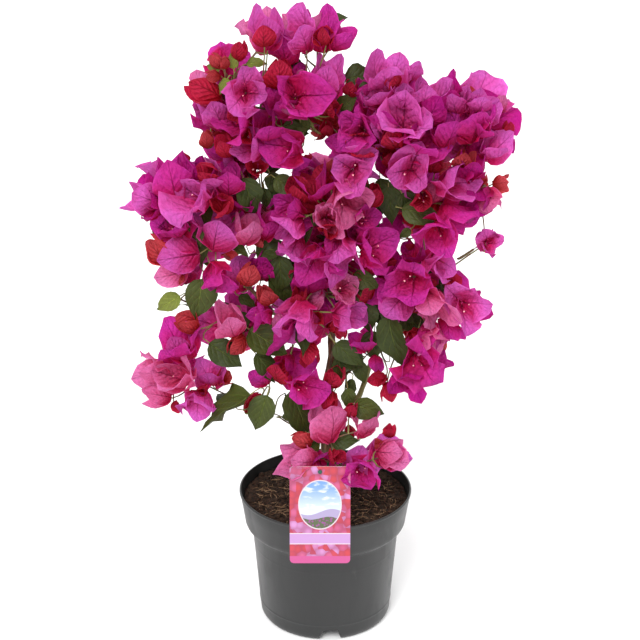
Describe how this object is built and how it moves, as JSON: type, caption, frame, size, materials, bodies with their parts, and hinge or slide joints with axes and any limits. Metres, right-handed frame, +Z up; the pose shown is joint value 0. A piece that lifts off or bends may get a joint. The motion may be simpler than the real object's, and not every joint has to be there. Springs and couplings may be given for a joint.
{
  "type": "potted bougainvillea shrub",
  "caption": "Flowering climbing shrub grown as an upright fan of magenta bracts and dark leaves, in a round nursery pot of soil with a picture card on a front shoot.",
  "frame": {"origin": "on the ground under the middle of the pot, on the flat underside of its middle pad", "axes": "+Z up the pot's axis, -Y towards the front of the plant with the card, +X to the right seen from the front"},
  "size_m": [0.3617, 0.1835, 0.6161],
  "materials": {
    "pot_plastic": "satin mid grey, lightly scuffed",
    "potting_soil": "damp dark brown crumb with tan fibres",
    "card": "thin printed plastic card",
    "plant_tie": "dark green moulded plastic",
    "bark": "brown ridged bark",
    "bracts": "thin papery magenta bracts",
    "leaves": "soft dark olive green leaves"
  },
  "bodies": {
    "root": {"back_centre": "bracts", "back_foot": "leaves", "back_left": "bracts", "back_low": "bracts", "back_low_left": "bracts", "back_low_right": "bracts", "back_right": "bracts", "back_top": "bracts", "back_upper_left": "bracts", "back_upper_right": "bracts", "bough_back": "bark", "bough_back_left": "bark", "bough_centre": "bark", "bough_front": "bark", "bough_front_left": "bark", "bough_front_right": "bark", "bough_left": "bark", "bough_left_low": "bark", "bough_right": "bark", "centre": "bracts", "centre_low": "bracts", "centre_mid": "bracts", "centre_right": "bracts", "crest_left": "bracts", "far_right": "bracts", "front_far_right": "bracts", "front_leaf": "leaves", "front_left": "bracts", "front_right": "bracts", "front_upper_left": "bracts", "front_upper_right": "bracts", "inner_left": "bracts", "leaf_low": "leaves", "left_bud": "bracts", "left_leaf": "leaves", "left_lobe": "bracts", "left_lobe_foot": "bracts", "left_low": "bracts", "left_mid": "bracts", "low_centre": "bracts", "low_leaf": "leaves", "pot": "pot_plastic", "right_drop": "bracts", "right_foot": "bracts", "right_leaf": "leaves", "right_low": "bracts", "right_tip": "bracts", "soil": "potting_soil", "stem_leaf": "leaves", "tag": "card", "tag_tie": "plant_tie", "top_left": "bracts", "top_right": "bracts", "trunk": "bark", "upper_left": "bracts", "upper_left_outer": "bracts", "upper_right": "bracts", "upper_right_outer": "bracts", "whip_right": "bark"}
  },
  "joints": []
}
